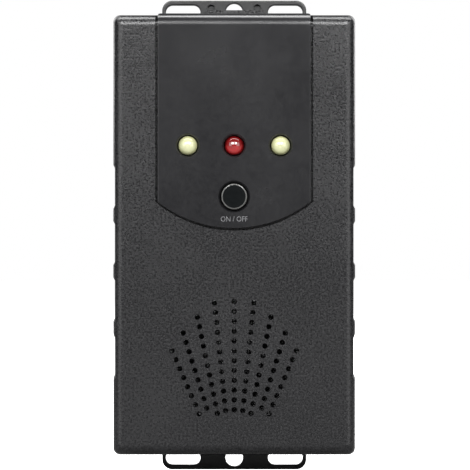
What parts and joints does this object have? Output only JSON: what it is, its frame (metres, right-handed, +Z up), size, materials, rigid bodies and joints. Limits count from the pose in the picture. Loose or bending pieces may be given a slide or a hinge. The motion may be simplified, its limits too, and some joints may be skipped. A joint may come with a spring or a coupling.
{
  "type": "ultrasonic pest repeller",
  "caption": "Flat battery box with a flashing-light panel, a round push button and a fan-shaped speaker grille, plugged onto a screw-down wall bracket with tie slots.",
  "frame": {"origin": "on the bracket's wall face, midway between its two screw holes", "axes": "+X to the right seen from the front, +Y back into the wall, +Z up along the case"},
  "size_m": [0.0618, 0.0324, 0.122],
  "materials": {
    "textured_shell": "black ABS with a fine spark-eroded grain",
    "smooth_panel": "black ABS, smooth satin",
    "bracket_plastic": "black ABS, smooth satin",
    "button_plastic": "black, glossy",
    "seal_foam": "black foam rubber",
    "led_clear": "clear epoxy over a pale yellow phosphor",
    "led_red": "red-tinted epoxy",
    "tinned_wire": "tinned",
    "board_laminate": "green solder mask over glass-epoxy laminate",
    "chip_resin": "black moulding resin",
    "switch_plastic": "black nylon",
    "plunger_plastic": "white acetal",
    "ferrite": "dark sintered ferrite",
    "copper_winding": "enamelled copper",
    "capacitor_sleeve": "dark blue sleeve over an aluminium can",
    "part_ceramic": "tan ceramic with tinned ends",
    "spacer_nylon": "natural nylon",
    "dust_mesh": "black woven dust mesh",
    "speaker_plastic": "black ABS",
    "cone_metal": "thin pressed aluminium",
    "piezo_ceramic": "ceramic disc on brass",
    "cell_wrap": "printed steel can with a plain wrap",
    "nickel_contact": "nickel-plated spring steel",
    "wire_red": "red PVC insulation",
    "wire_black": "black PVC insulation",
    "zinc_screw": "zinc-plated steel"
  },
  "bodies": {
    "bracket": {"mounting_bracket": "bracket_plastic"},
    "case": {"front_shell": "textured_shell", "control_panel": "smooth_panel", "back_shell": "textured_shell", "shell_seal": "seal_foam", "cell_lower_left": "cell_wrap", "cell_upper_left": "cell_wrap", "cell_lower_right": "cell_wrap", "cell_upper_right": "cell_wrap", "contact_plates": "nickel_contact", "spring_contacts": "nickel_contact", "main_board": "board_laminate", "led_white_left": "led_clear", "led_red_centre": "led_red", "led_white_right": "led_clear", "led_leads": "tinned_wire", "led_spacers": "spacer_nylon", "push_switch": "switch_plastic", "coil_core": "ferrite", "coil_winding": "copper_winding", "smoothing_capacitor": "capacitor_sleeve", "controller_chip": "chip_resin", "drive_transistors": "chip_resin", "surface_mount_parts": "part_ceramic", "grille_mesh": "dust_mesh", "speaker_housing": "speaker_plastic", "speaker_cone": "cone_metal", "piezo_element": "piezo_ceramic", "speaker_retainer": "speaker_plastic", "battery_wire_red": "wire_red", "battery_wire_black": "wire_black", "speaker_wires": "wire_red", "case_screws": "zinc_screw", "board_screws": "zinc_screw", "retainer_screws": "zinc_screw"},
    "button": {"switch_plunger": "plunger_plastic", "on_off_button": "button_plastic"},
    "battery_door": {"battery_door": "textured_shell"}
  },
  "joints": [
    {"name": "case_pull_off", "type": "slide", "parent": "bracket", "child": "case", "axis": [0, -1, 0], "range_m": [0, 0.03]},
    {"name": "button_press", "type": "slide", "parent": "case", "child": "button", "axis": [0, 1, 0], "range_m": [0, 0.0015], "stiffness_N_per_m": 800, "springref_m": -0.0005},
    {"name": "battery_door_slide", "type": "slide", "parent": "case", "child": "battery_door", "axis": [0, 0, -1], "range_m": [0, 0.105]}
  ]
}
